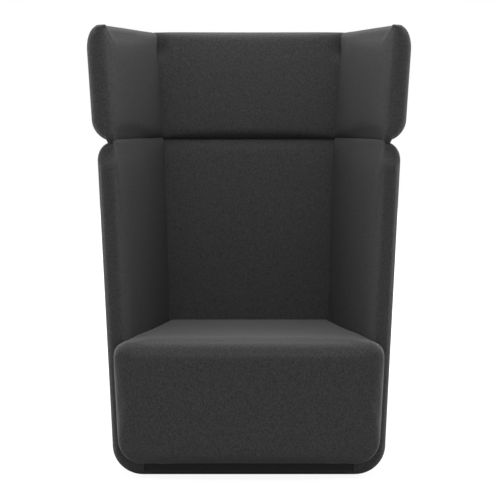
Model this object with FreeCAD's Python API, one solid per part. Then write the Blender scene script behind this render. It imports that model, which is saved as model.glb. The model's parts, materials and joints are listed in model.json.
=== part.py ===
import FreeCAD, Part
import math
import os

# Acoustic high back lounge chair: a tub of two splayed side walls and a reclined back,
# a one-piece seat block in its mouth, and a separate winged headrest standing on top.
# Millimetres. +X is to the right seen from the front, +Y to the back, +Z up.
# "Depth" is measured backwards from the front edges of the side walls.

V = FreeCAD.Vector

# Lower tub: heights, widths across the outside at the front edges, and slopes
tub_bottom = 9.0
tub_top = 1037.0
tub_width_bottom = 831.0
tub_width_top = 938.0
splay_angle = 12.0
tub_recline = 5.5
tub_wall = 50.0
tub_back = 88.0
tub_inner_depth = 543.0

# Headrest: stands on the tub with a seam between them
head_seam = 0.4
head_height = 362.6
head_width_bottom = 954.6
head_width_top = 1006.6
head_recline = 2.5
head_wall = 58.0
head_back = 96.0

# Cutting blocks: their size, and how far they run past what they cut
reach = 900.0
past = 5.0
far_past = 60.0
touch = 0.001

# Rounded edges of the outside
tub_bottom_round = 100.0
tub_corner_round = 104.0
tub_top_round = 38.0
head_bottom_round = 60.0
head_corner_round = 100.0
head_top_round = 36.0
least_round = 2.0
bottom_steps = 4
top_steps = 3

# Layers of a wall, from the outside in
felt = 10.0
board = 12.0
skin = 2.0
top_seam = 38.0
bottom_seam = 40.0
wrap_under = 304.0
wrap_under_rear = 140.0

# Pads: rounding of the front and top edges, and the crown of the faces
pad_front_round = 22.0
tub_pad_top_round = 11.0
head_pad_top_round = 19.0
head_pad_bottom_round = 14.0
side_crown = 6.0
back_crown = 9.0
soft_gap = 0.4
crown_above_seat = 12.0
core_slack = 3.0
trim_gap = 6.0
flat_crown = 0.02

# Plywood boards inside the walls
board_set_back = 14.0
board_top_gap = 42.0
head_board_low_gap = 62.0
post_reach = 92.0
post_inset = 45.0
post_bevel = 40.0

# Seat block
seat_height = 428.0
seat_crown = 8.0
seat_lip = 45.0
seat_low = 52.0
seat_side_gap = 19.0
seat_top_roll = 44.0
seat_side_roll = 16.0
seat_low_corner = 77.0
seat_high_corner = 34.0
seat_edge_round = 14.0

# Base and seat box
cloth = 2.0
base_thickness = 20.0
rail_height = 44.0
rail_width = 40.0
box_board = 18.0
box_top = 282.0
box_rear = 520.0
middle_rail_depth = 250.0
rear_rail_depth = 440.0
valance = 10.0
cloth_set_back = 4.0
deck_border = 74.0
deck_front_border = 62.0
deck_rear_border = 470.0
cut_out = 70.0
cut_out_half = 60.0
corner_block = 42.0

# Elastic webbing
strap_width = 50.0
strap_thickness = 1.5
long_straps = 5
cross_straps = 4
strap_overlap = 22.0
strap_border = 10.0

# Levelling glides
glide_front_half = 250.0
glide_rear_half = 165.0
glide_front_depth = 82.0
glide_rear_depth = 400.0
glide_width = 42.0
glide_sides = 12
glide_gap = 0.4
glide_pad = 4.5
glide_grip = 19.0
stud_radius = 4.0
stud_clearance = 0.05
stud_top = 46.0
stud_seat = 3.0
nut_width = 12.0
nut_flange_width = 20.0
nut_flange = 1.6
nut_bore_past = 1.0

# Headrest fixings
bracket_half = 110.0
bracket_width = 60.0
bracket_thickness = 5.0
bracket_leg = 120.0
bracket_inset = 64.0
packer_low = 88.0
packer_high = 62.0
screw_radius = 4.0
screw_head_width = 13.0
screw_head = 5.0
screw_length = 35.0
screw_edge = 30.0
frame_board = 18.0
frame_low_gap = 14.0
frame_side = 38.0
pin_radius = 6.0
pin_inset = 29.0
pin_depth = 150.0
pin_length = 130.0
pin_block_height = 70.0
pin_block_half = 35.0
pin_block_cover = 3.0

splay = math.tan(math.radians(splay_angle))


class Walls:
    """The planes that a tub's two side walls and back share, and their rounded edges."""

    def __init__(self, bottom, top, width_bottom, width_top, recline, wall, back):
        self.bottom = bottom
        self.top = top
        self.half = width_bottom / 2.0
        self.lean = (width_top - width_bottom) / 2.0 / (top - bottom)
        self.slope = math.tan(math.radians(recline))
        self.wall = wall
        self.back = back
        self.side_factor = math.sqrt(1.0 + splay ** 2 + self.lean ** 2)
        self.back_factor = math.sqrt(1.0 + self.slope ** 2)
        self.rear_at_bottom = 0.0

    def side(self, z, depth, inset):
        """Half width at a height and depth, a distance inside the outer face."""
        return self.half + self.lean * (z - self.bottom) - splay * depth - inset * self.side_factor

    def rear(self, z, inset):
        """Depth of the back at a height, a distance inside the outer face."""
        return self.rear_at_bottom + self.slope * (z - self.bottom) - inset * self.back_factor

    def face(self, z):
        """Depth of the back pad's face, without its crown."""
        return self.rear(z, self.back)


tub = Walls(tub_bottom, tub_top, tub_width_bottom, tub_width_top, tub_recline, tub_wall, tub_back)
tub.rear_at_bottom = tub_inner_depth + tub_back * tub.back_factor - tub.slope * (seat_height - tub_bottom)

head_low = tub_top + head_seam
head_high = head_low + head_height
head = Walls(head_low, head_high, head_width_bottom, head_width_top, head_recline, head_wall, head_back)
head.rear_at_bottom = tub.rear(tub_top, 0.0)

overall_depth = seat_lip + head.rear(head_high - head_top_round, 0.0)
front_y = seat_lip - overall_depth / 2.0

box_low = tub_bottom + cloth + base_thickness + rail_height
deck_top = box_top + box_board
strap_top = deck_top + 2.0 * strap_thickness


def prism(low_ring, high_ring):
    """Closed solid between two rings with as many corners, listed anticlockwise from above."""
    faces = [Part.Face(Part.makePolygon(low_ring[::-1] + low_ring[-1:]))]
    faces.append(Part.Face(Part.makePolygon(high_ring + high_ring[:1])))
    for i in range(len(low_ring)):
        j = (i + 1) % len(low_ring)
        corners = [low_ring[i], low_ring[j], high_ring[j], high_ring[i], low_ring[i]]
        faces.append(Part.Face(Part.makePolygon(corners)))
    return Part.Solid(Part.Shell(faces))


def tub_prism(walls, low, high, front, side_inset, rear_inset):
    """Part of the tub's inside, between two heights and behind a front depth."""
    rings = []
    for z in (low, high):
        rear = walls.rear(z, rear_inset)
        a = walls.side(z, front, side_inset)
        b = walls.side(z, rear, side_inset)
        rings.append([V(-a, front, z), V(a, front, z), V(b, rear, z), V(-b, rear, z)])
    return prism(rings[0], rings[1])


def behind(walls, low, high, inset):
    """Everything behind a plane parallel to the back."""
    rings = []
    for z in (low, high):
        near = walls.rear(z, inset)
        far = near + reach
        rings.append([V(-reach, near, z), V(reach, near, z), V(reach, far, z), V(-reach, far, z)])
    return prism(rings[0], rings[1])


def box(x_low, x_high, d_low, d_high, z_low, z_high):
    return Part.makeBox(x_high - x_low, d_high - d_low, z_high - z_low, V(x_low, d_low, z_low))


def edges_where(solid, test):
    """Edges whose middle point and direction pass a test."""
    found = []
    for edge in solid.Edges:
        if edge.Degenerated:
            continue
        middle = (edge.FirstParameter + edge.LastParameter) / 2.0
        if test(edge.valueAt(middle), edge.tangentAt(middle)):
            found.append(edge)
    return found


def outline(walls, z, drawn, inset, front, corner_round):
    """Plan outline of a tub at one height: two splayed sides, two round corners and the back."""
    whole = inset + drawn
    radius = max(corner_round - drawn, least_round)
    rear = walls.rear(z, whole)
    corner = walls.side(z, rear, whole)
    run = radius * math.tan((math.pi / 2.0 - math.radians(splay_angle)) / 2.0)
    step = V(-math.sin(math.radians(splay_angle)), math.cos(math.radians(splay_angle)), 0.0)
    tip = V(corner, rear, z)
    before = tip - step * run
    after = V(corner - run, rear, z)
    inward = V(step.y, -step.x, 0.0) * -radius
    centre = before + inward
    middle = centre + (tip - centre).normalize() * radius
    start = V(walls.side(z, front, whole), front, z)
    other = [V(-p.x, p.y, p.z) for p in (start, before, middle, after)]
    return Part.Wire([line(other[0], start), line(start, before), arc(before, middle, after),
                      line(after, other[3]), arc(other[3], other[2], other[1]), line(other[1], other[0])])


def envelope(walls, inset, front, low, high, bottom_round, corner_round, top_round):
    """Rounded outside of a tub, a distance inside its outer faces."""
    levels = []
    for i in range(bottom_steps + 1):
        turn = math.pi / 2.0 * i / bottom_steps
        levels.append((low + bottom_round * (1.0 - math.cos(turn)), bottom_round * (1.0 - math.sin(turn))))
    for i in range(top_steps + 1):
        turn = math.pi / 2.0 * i / top_steps
        levels.append((high - top_round * (1.0 - math.sin(turn)), top_round * (1.0 - math.cos(turn))))
    if not bottom_round:
        levels = levels[bottom_steps:]
    if not top_round:
        levels = levels[:-top_steps]
    wires = [outline(walls, z, drawn, inset, front, corner_round) for z, drawn in levels]
    return Part.makeLoft(wires, True, True)


def tub_outside(front=0.0):
    return envelope(tub, 0.0, front, tub_bottom, tub_top,
                    tub_bottom_round, tub_corner_round, tub_top_round)


def tub_inside(inset, front=-far_past):
    """Space inside the tub's outer layers, open above."""
    return envelope(tub, inset, front, tub_bottom + inset, tub_top + far_past,
                    tub_bottom_round - inset, tub_corner_round - inset, 0.0)


def head_outside(front=0.0):
    return envelope(head, 0.0, front, head_low, head_high,
                    head_bottom_round, head_corner_round, head_top_round)


def head_inside(inset, front=-far_past):
    return envelope(head, inset, front, head_low + inset, head_high - inset,
                    head_bottom_round - inset, head_corner_round - inset, head_top_round - inset)


def underside(low, high, front):
    """Flat part of the tub's underside that its covers leave open, between two heights."""
    rear = tub.rear(tub_bottom, 0.0) - wrap_under_rear
    a = wrap_under - splay * front
    b = wrap_under - splay * rear
    rings = []
    for z in (low, high):
        rings.append([V(-a, front, z), V(a, front, z), V(b, rear, z), V(-b, rear, z)])
    return prism(rings[0], rings[1])


def tub_felt_layer(front=0.0):
    """Outer layer of the tub, rolled over the top edge to its seam."""
    curl = envelope(tub, felt, -far_past, tub_bottom + felt, tub_top - felt,
                    tub_bottom_round - felt, tub_corner_round - felt, tub_top_round - felt)
    layer = tub_outside(front).cut(curl)
    layer = layer.cut(tub_prism(tub, tub_top - felt - past, tub_top + past, -far_past, top_seam, top_seam))
    return layer.cut(underside(tub_bottom - past, tub_bottom + felt + past, -far_past))


def head_felt_layer(front=0.0):
    """Outer layer of the headrest, rolled in at the top and bottom to its seams."""
    layer = head_outside(front).cut(head_inside(felt))
    high = tub_prism(head, head_high - felt - past, head_high + past, -far_past, top_seam, top_seam)
    low = tub_prism(head, head_low - past, head_low + felt + past, -far_past, bottom_seam, bottom_seam)
    return layer.cut(high).cut(low)


def largest(shape):
    """The one solid that a cut is meant to leave."""
    return max(shape.Solids, key=lambda s: s.Volume)


def rear_middle(walls, low, high):
    """Space of the back between its two corners, down to the rear hem underneath."""
    wide = tub_prism(walls, low - past, high + past, 0.0, post_reach, -far_past)
    return wide.common(behind(walls, low - past, high + past, wrap_under_rear + past))


def right_half(low, high):
    return box(0.0, reach, -reach, reach, low - past, high + past)


def in_three(layer, walls, low, high):
    """Left, back and right parts of a layer, parted down its rear corners."""
    middle = rear_middle(walls, low, high)
    back = largest(layer.common(middle))
    right = largest(layer.cut(middle).common(right_half(low, high)))
    return mirrored(right), back, right


def post_core(walls, low, high):
    """Space that the corner posts leave: their inner faces run flat across the corner."""
    rings = []
    for z in (low, high):
        rear = walls.rear(z, post_inset)
        start = walls.side(z, 0.0, post_inset)
        near = walls.side(z, rear - post_bevel, post_inset)
        far = walls.side(z, rear, post_inset) - post_bevel
        right = [V(start, 0.0, z), V(near, rear - post_bevel, z), V(far, rear, z)]
        left = [V(-p.x, p.y, p.z) for p in reversed(right)]
        rings.append(right + left)
    return prism(rings[0], rings[1])


def boards_of(ply, post, walls, low, high):
    """Back board, right side board and right corner post out of their two layers."""
    middle = rear_middle(walls, low, high)
    corner = behind(walls, low - past, high + past, post_reach)
    right = right_half(low, high)
    back_part = largest(ply.common(middle))
    side_part = largest(ply.cut(middle).cut(corner).common(right))
    post_part = largest(post.cut(middle).common(corner).common(right))
    return back_part, side_part, post_part


def mirrored(shape):
    return shape.mirror(V(0, 0, 0), V(1, 0, 0))


def line(a, b):
    return Part.LineSegment(a, b).toShape()


def arc(a, middle, b):
    return Part.Arc(a, middle, b).toShape()


def roll(radius, distance):
    """How far a rounded edge has drawn in, a distance in from where it starts."""
    if distance >= radius:
        return 0.0
    return radius - math.sqrt(radius ** 2 - (radius - distance) ** 2)


def pad_levels(low, high, low_round, high_round, crown_low, cover):
    """Heights of a pad's sections, with how far each draws in and its share of the crown."""
    levels = []
    high = high - cover
    high_round = high_round - cover
    if low_round:
        low = low + cover
        low_round = low_round - cover
    if low_round:
        for share in (0.0, 0.2, 1.0):
            levels.append((low + low_round * share, roll(low_round, low_round * share), 0.0))
    else:
        levels.append((low, 0.0, 0.0))
    start = max(crown_low, low + low_round + trim_gap)
    end = high - high_round - trim_gap
    for share in (0.0, 0.25, 0.5, 0.75, 1.0):
        height = start + (end - start) * share
        levels.append((height, 0.0, math.sin(math.pi * share)))
    for share in (1.0, 0.4, 0.08, 0.0):
        levels.append((high - high_round * share, roll(high_round, high_round * share), 0.0))
    return levels


def side_pad_section(walls, z, drawn, crown, cover, outer_inset, past_rear):
    """Outline of a side pad at one height: front edge, rounded corner and crowned face."""
    inset = walls.wall - drawn - cover
    front = drawn + cover
    rear = walls.face(z) + past_rear
    radius = pad_front_round - cover
    diagonal = radius * (1.0 - math.sqrt(0.5))
    outer_front = V(walls.side(z, front, outer_inset), front, z)
    outer_rear = V(walls.side(z, rear, outer_inset), rear, z)
    inner_rear = V(walls.side(z, rear, inset), rear, z)
    turn_rear = V(walls.side(z, front + radius, inset), front + radius, z)
    turn_middle = V(walls.side(z, front + diagonal, inset - diagonal), front + diagonal, z)
    turn_front = V(walls.side(z, front, inset - radius), front, z)
    face_depth = (front + radius + rear) / 2.0
    face_middle = V(walls.side(z, face_depth, inset + max(crown, flat_crown)), face_depth, z)
    return Part.Wire([line(outer_front, outer_rear), line(outer_rear, inner_rear),
                      arc(inner_rear, face_middle, turn_rear), arc(turn_rear, turn_middle, turn_front),
                      line(turn_front, outer_front)])


def back_pad_section(walls, z, drawn, crown, cover, outer_inset):
    """Outline of a back pad at one height, crowned between the two inner corners."""
    face = walls.face(z) + drawn + cover
    rear = walls.rear(z, outer_inset)
    corner = walls.side(z, walls.face(z), walls.wall)
    wide = walls.side(z, walls.face(z), outer_inset)
    narrow = walls.side(z, rear, outer_inset)
    points = [V(corner, face, z), V(wide, face, z), V(narrow, rear, z),
              V(-narrow, rear, z), V(-wide, face, z), V(-corner, face, z)]
    edges = [line(points[i], points[i + 1]) for i in range(5)]
    edges.append(arc(points[5], V(0.0, face - max(crown, flat_crown), z), points[0]))
    return Part.Wire(edges)


def pads(walls, levels_for, outside, layer, boards):
    """Foam and cover of the right side pad and of the back pad, fitted inside the felt layer."""
    made = []
    for back in (False, True):
        shapes = []
        for cover, slack in ((0.0, 0.0), (skin, core_slack)):
            wires = []
            for z, drawn, crown in levels_for(cover):
                if back:
                    wires.append(back_pad_section(walls, z, drawn, crown * back_crown,
                                                  cover, felt / 2.0 - slack))
                else:
                    wires.append(side_pad_section(walls, z, drawn, crown * side_crown,
                                                  cover, felt / 2.0 - slack, slack))
            shapes.append(Part.makeLoft(wires, True, True))
        whole = largest(shapes[0].common(outside).cut(layer))
        for piece in boards:
            whole = whole.cut(piece)
        made.append((largest(whole.common(shapes[1])), largest(whole.cut(shapes[1]))))
    return made


def parts_of_tub():
    """Felt covers, plywood, corner posts, foam and fabric covers of the lower tub."""
    nodes = {}
    left, back, right = in_three(tub_felt_layer(), tub, tub_bottom, tub_top)
    nodes["outer_cover_left"] = left
    nodes["outer_cover_back"] = back
    nodes["outer_cover_right"] = right

    room = tub_inside(felt, board_set_back)
    low = tub_bottom + felt
    high = tub_top - board_top_gap
    room = room.common(box(-reach, reach, 0.0, reach, low, high))
    ply = room.cut(tub_inside(felt + board))
    ply = ply.cut(underside(low - past, low + board + past, 0.0))
    post = room.cut(post_core(tub, low - past, high + past))
    post = post.common(box(-reach, reach, 0.0, reach, tub_bottom + tub_bottom_round, high))
    back_board, side_board, corner_post = boards_of(ply, post, tub, low, high)
    nodes["back_board"] = back_board
    nodes["side_board_right"] = side_board
    nodes["corner_post_right"] = corner_post
    for name in ("side_board", "corner_post"):
        nodes[name + "_left"] = mirrored(nodes[name + "_right"])

    def levels(cover):
        return pad_levels(deck_top, tub_top, 0.0, tub_pad_top_round, seat_height + crown_above_seat, cover)

    buried = [nodes[name] for name in ("side_board_right", "side_board_left", "corner_post_right",
                                       "corner_post_left", "back_board")]
    side, rear_pad = pads(tub, levels, tub_outside(-past), tub_felt_layer(-past), buried)
    nodes["side_foam_right"], nodes["side_pad_cover_right"] = side
    nodes["side_foam_left"] = mirrored(side[0])
    nodes["side_pad_cover_left"] = mirrored(side[1])
    nodes["back_foam"], nodes["back_pad_cover"] = rear_pad
    return nodes


def parts_of_headrest():
    """Felt covers, plywood, corner posts, bottom frame, foam and fabric covers of the headrest."""
    nodes = {}
    left, back, right = in_three(head_felt_layer(), head, head_low, head_high)
    nodes["headrest_outer_cover_left"] = left
    nodes["headrest_outer_cover_back"] = back
    nodes["headrest_outer_cover_right"] = right

    low = head_low + head_board_low_gap
    high = head_high - board_top_gap
    room = head_inside(felt, board_set_back).common(box(-reach, reach, 0.0, reach, low, high))
    ply = room.cut(head_inside(felt + board))
    post = room.cut(post_core(head, low - past, high + past))
    back_board, wing_board, post = boards_of(ply, post, head, low, high)
    nodes["headrest_back_board"] = back_board
    nodes["wing_board_right"] = wing_board
    nodes["headrest_post_right"] = post
    for name in ("wing_board", "headrest_post"):
        nodes[name + "_left"] = mirrored(nodes[name + "_right"])

    frame_low = head_low + frame_low_gap
    ring = head_inside(felt, board_set_back)
    ring = ring.common(box(-reach, reach, 0.0, reach, frame_low, frame_low + frame_board))
    inner = felt + frame_side
    nodes["headrest_bottom_frame"] = largest(
        ring.cut(tub_prism(head, head_low - past, head_high, -far_past, inner, inner)))

    def levels(cover):
        return pad_levels(head_low, head_high, head_pad_bottom_round, head_pad_top_round, 0.0, cover)

    buried = [nodes[name] for name in ("wing_board_right", "wing_board_left", "headrest_post_right",
                                       "headrest_post_left", "headrest_back_board",
                                       "headrest_bottom_frame")]
    side, rear_pad = pads(head, levels, head_outside(-past), head_felt_layer(-past), buried)
    nodes["wing_foam_right"], nodes["wing_pad_cover_right"] = side
    nodes["wing_foam_left"] = mirrored(side[0])
    nodes["wing_pad_cover_left"] = mirrored(side[1])
    nodes["headrest_foam"], nodes["headrest_pad_cover"] = rear_pad
    return nodes


def lip_section(depth, cover):
    """Outline of the seat block's front at one depth: leaning sides and four rounded corners."""
    distance = depth + seat_lip
    drawn = roll(seat_side_roll, distance) + cover
    low = seat_low + drawn
    high = seat_height - seat_crown - roll(seat_top_roll, distance) - cover
    low_radius = seat_low_corner - cover
    high_radius = seat_high_corner - cover

    def half(z):
        return tub.side(z, 0.0, 0.0) - seat_side_gap - drawn

    low_x = half(low + low_radius) - low_radius
    high_x = half(high - high_radius) - high_radius
    bend = math.sqrt(0.5)
    ring = [V(low_x, depth, low),
            V(low_x + low_radius * bend, depth, low + low_radius * (1.0 - bend)),
            V(half(low + low_radius), depth, low + low_radius),
            V(half(high - high_radius), depth, high - high_radius),
            V(high_x + high_radius * bend, depth, high - high_radius * (1.0 - bend)),
            V(high_x, depth, high)]
    other = [V(-p.x, p.y, p.z) for p in ring]
    crown = V(0.0, depth, high + seat_crown)
    return Part.Wire([line(other[0], ring[0]), arc(ring[0], ring[1], ring[2]), line(ring[2], ring[3]),
                      arc(ring[3], ring[4], ring[5]), arc(ring[5], crown, other[5]),
                      arc(other[5], other[4], other[3]), line(other[3], other[2]),
                      arc(other[2], other[1], other[0])])


def cushion(cover, slack):
    """Seat cushion between the walls: a wedge with round side edges under one broad crown."""
    bottom = strap_top - slack
    top = seat_height - cover
    inset = tub_wall + soft_gap + cover
    gap = tub_back + soft_gap + cover - slack
    rings = []
    for z in (bottom, top):
        rear = tub.rear(z, gap)
        a = tub.side(z, 0.0, inset)
        b = tub.side(z, rear, inset)
        rings.append([V(-a, 0.0, z), V(a, 0.0, z), V(b, rear, z), V(-b, rear, z)])
    block = prism(rings[0], rings[1])
    sides = edges_where(block, lambda p, t: abs(p.z - top) < touch and abs(p.x) > past)
    block = block.makeFillet(seat_edge_round, sides)
    half = tub.side(top, 0.0, inset)
    radius = (half ** 2 + seat_crown ** 2) / (2.0 * seat_crown)
    dome = Part.makeCylinder(radius, reach, V(0.0, -past, top - radius), V(0.0, 1.0, 0.0))
    return block.common(dome)


def seat_solid(cover, slack):
    """The seat block: its rolled front and, behind it, the crowned cushion between the walls."""
    start = cover - seat_lip
    shares = (0.0, 0.06, 0.3, 1.0)
    front = Part.makeLoft([lip_section(start - start * share, cover) for share in shares], True, True)
    rear = cushion(cover, slack)
    fill = box(-reach, reach, 0.0, board_set_back + slack, box_low, deck_top)
    return front.fuse(rear).fuse(fill.common(tub_inside(felt))).removeSplitter()


def parts_of_seat():
    """Foam block and its one-piece cover."""
    whole = seat_solid(0.0, 0.0)
    core = seat_solid(skin, core_slack)
    foam = largest(whole.common(core))
    cover = largest(whole.cut(core))
    return {"seat_foam": foam, "seat_cover": cover}


def many_sided(sides, across, centre, height):
    """Prism with equal sides, by its width across flats."""
    radius = across / 2.0 / math.cos(math.pi / sides)
    up = V(height).normalize()
    side = up.cross(V(1.0, 0.0, 0.0)).normalize()
    other = up.cross(side)
    corners = []
    for i in range(sides):
        angle = 2.0 * math.pi * i / sides
        corners.append(centre + side * (radius * math.cos(angle)) + other * (radius * math.sin(angle)))
    return Part.Face(Part.makePolygon(corners + corners[:1])).extrude(height)


def glide_places():
    return {"front_left": (-glide_front_half, glide_front_depth),
            "front_right": (glide_front_half, glide_front_depth),
            "rear_left": (-glide_rear_half, glide_rear_depth),
            "rear_right": (glide_rear_half, glide_rear_depth)}


def parts_of_base(covers):
    """Base board, black under cloth, front valance, cross rails and tee nuts."""
    nodes = {}
    low = tub_bottom + cloth
    top = low + base_thickness
    base = underside(low, top, board_set_back)
    under = underside(tub_bottom, low, cloth_set_back)
    nuts = []
    for x, depth in glide_places().values():
        barrel = many_sided(6, nut_width, V(x, depth, low), V(0.0, 0.0, base_thickness))
        base = base.cut(barrel)
        under = under.cut(many_sided(6, nut_width, V(x, depth, tub_bottom), V(0.0, 0.0, cloth)))
        flange = many_sided(6, nut_flange_width, V(x, depth, top), V(0.0, 0.0, nut_flange))
        bore_length = base_thickness + nut_flange + 2.0 * nut_bore_past
        bore = Part.makeCylinder(stud_radius + stud_clearance, bore_length, V(x, depth, low - nut_bore_past))
        nuts.append(barrel.fuse(flange).cut(bore).removeSplitter())
    nodes["base_board"] = base
    nodes["base_cloth"] = under
    nodes["tee_nuts"] = Part.makeCompound(nuts)

    face = box(-reach, reach, board_set_back - valance, board_set_back, low, box_low)
    face = face.common(tub_outside())
    for cover in covers:
        face = face.cut(cover)
    nodes["front_valance"] = largest(face)

    room = tub_inside(felt + board)
    rail_low = top
    for name, depth in (("front", board_set_back), ("middle", middle_rail_depth), ("rear", rear_rail_depth)):
        rail = box(-reach, reach, depth, depth + rail_width, rail_low, rail_low + rail_height)
        nodes["cross_rail_" + name] = rail.common(room)
    return nodes


def parts_of_seat_box(posts):
    """Plywood seat box: front, rear, side and centre panels, corner blocks, deck and webbing."""
    nodes = {}
    room = tub_inside(felt + board)
    front = board_set_back
    inner_front = front + box_board
    panel = box(-reach, reach, front, inner_front, box_low, box_top).common(room)
    nodes["seat_front_panel"] = panel
    rear_panel = box(-reach, reach, box_rear, box_rear + box_board, box_low, box_top).common(room)
    hole_low = (box_low + box_top - cut_out) / 2.0
    for x in (-2.0 * cut_out_half, 2.0 * cut_out_half):
        rear_panel = rear_panel.cut(box(x - cut_out_half, x + cut_out_half, box_rear - past,
                                        box_rear + box_board + past, hole_low, hole_low + cut_out))
    for post in posts:
        rear_panel = rear_panel.cut(post)
    nodes["seat_rear_panel"] = largest(rear_panel)

    outer = tub_inside(felt + board).common(box(0.0, reach, inner_front, box_rear, box_low, box_top))
    side = outer.cut(tub_prism(tub, box_low - past, box_top + past, 0.0, felt + board + box_board, felt))
    side = largest(side)
    for post in posts:
        side = side.cut(post)
    nodes["seat_side_panel_right"] = largest(side)
    nodes["seat_side_panel_left"] = mirrored(largest(side))

    centre = box(-box_board / 2.0, box_board / 2.0, inner_front, box_rear, box_low, box_top)
    for share in (0.25, 0.75):
        depth = inner_front + (box_rear - inner_front) * share
        centre = centre.cut(box(-box_board, box_board, depth - cut_out_half, depth + cut_out_half,
                                hole_low, hole_low + cut_out))
    nodes["seat_centre_panel"] = centre

    blocks = []
    inset = felt + board + box_board
    for depth, sign in ((inner_front, 1.0), (box_rear, -1.0)):
        ring = []
        for z in (box_low, box_top):
            far = depth + sign * corner_block
            a = tub.side(z, depth, inset)
            b = tub.side(z, far, inset)
            corners = [V(a, depth, z), V(b, far, z), V(a - corner_block, depth, z)]
            ring.append(corners)
        block = Part.makeLoft([Part.makePolygon(c + c[:1]) for c in ring], True, True)
        for post in posts:
            block = block.cut(post)
        blocks.append(block)
        blocks.append(mirrored(block))
    nodes["corner_blocks"] = Part.makeCompound(blocks)

    deck = tub_inside(felt + board).common(box(-reach, reach, front, reach, box_top, deck_top))
    a = tub.side(deck_top, deck_front_border, deck_border)
    b = tub.side(deck_top, deck_rear_border, deck_border)
    opening = [[V(-a, deck_front_border, z), V(a, deck_front_border, z),
                V(b, deck_rear_border, z), V(-b, deck_rear_border, z)]
               for z in (box_top - past, deck_top + past)]
    deck = deck.cut(prism(opening[0], opening[1]))
    for post in posts:
        deck = deck.cut(post)
    nodes["seat_deck"] = largest(deck)

    straps = []
    length_low = deck_front_border - strap_overlap
    length_high = deck_rear_border + strap_overlap
    spread = 2.0 * (b - strap_border) - strap_width
    for i in range(long_straps):
        x = -spread / 2.0 + spread * i / (long_straps - 1) - strap_width / 2.0
        straps.append(box(x, x + strap_width, length_low, length_high,
                          deck_top + strap_thickness, deck_top + 2.0 * strap_thickness))
    nodes["webbing_lengthwise"] = Part.makeCompound(straps)
    straps = []
    pitch = (deck_rear_border - deck_front_border) / cross_straps
    for i in range(cross_straps):
        depth = deck_front_border + pitch * (i + 0.5)
        half = tub.side(deck_top, depth + strap_width, deck_border) + strap_overlap
        straps.append(box(-half, half, depth - strap_width / 2.0, depth + strap_width / 2.0,
                          deck_top, deck_top + strap_thickness))
    nodes["webbing_crosswise"] = Part.makeCompound(straps)
    return nodes


def parts_of_glides():
    """Four levelling glides: a moulded foot on a steel stud that turns in its tee nut."""
    nodes = {}
    foot_top = tub_bottom - glide_gap
    for place, (x, depth) in glide_places().items():
        pad = many_sided(glide_sides, glide_width, V(x, depth, 0.0), V(0.0, 0.0, glide_pad))
        grip = many_sided(6, glide_grip, V(x, depth, glide_pad), V(0.0, 0.0, foot_top - glide_pad))
        stud = Part.makeCylinder(stud_radius, stud_top - stud_seat, V(x, depth, stud_seat))
        nodes["glide_foot_" + place] = pad.fuse(grip).cut(stud).removeSplitter()
        nodes["glide_stud_" + place] = stud
    return nodes


def bracket_screw(walls, x, z):
    """Hexagon-headed screw through a bracket leg into its packer, square to the back."""
    angle = math.atan(walls.slope)
    axis = V(0.0, math.cos(angle), -math.sin(angle))
    face = V(x, walls.rear(z, bracket_inset + bracket_thickness), z)
    shank = Part.makeCylinder(screw_radius, screw_length, face, axis)
    cap = many_sided(6, screw_head_width, face, axis * -screw_head)
    return cap.fuse(shank).removeSplitter()


def bend_height(inset):
    """Height where the tub's and the headrest's slopes cross, a distance inside both backs."""
    apart = head.rear(tub_top, inset) - tub.rear(tub_top, inset)
    return tub_top + apart / (tub.slope - head.slope)


def bracket_bar(x, low, high):
    """Flat steel bar with the slight bend between the tub's and the headrest's slopes."""
    near = bracket_inset + bracket_thickness
    bend = bend_height(bracket_inset)
    near_bend = bend_height(near)
    profile = [(tub.rear(low, bracket_inset), low), (tub.rear(bend, bracket_inset), bend),
               (head.rear(high, bracket_inset), high), (head.rear(high, near), high),
               (tub.rear(near_bend, near), near_bend), (tub.rear(low, near), low)]
    points = [V(x - bracket_width / 2.0, depth, z) for depth, z in profile]
    return Part.Face(Part.makePolygon(points + points[:1])).extrude(V(bracket_width, 0, 0))


def packer(walls, x, low, high):
    """Timber block between a back board and a bracket."""
    space = tub_prism(walls, low, high, 0.0, felt, felt + board)
    space = space.common(behind(walls, low - past, high + past, bracket_inset))
    half = bracket_width / 2.0
    return space.common(box(x - half, x + half, 0.0, reach, low - past, high + past))


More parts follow.
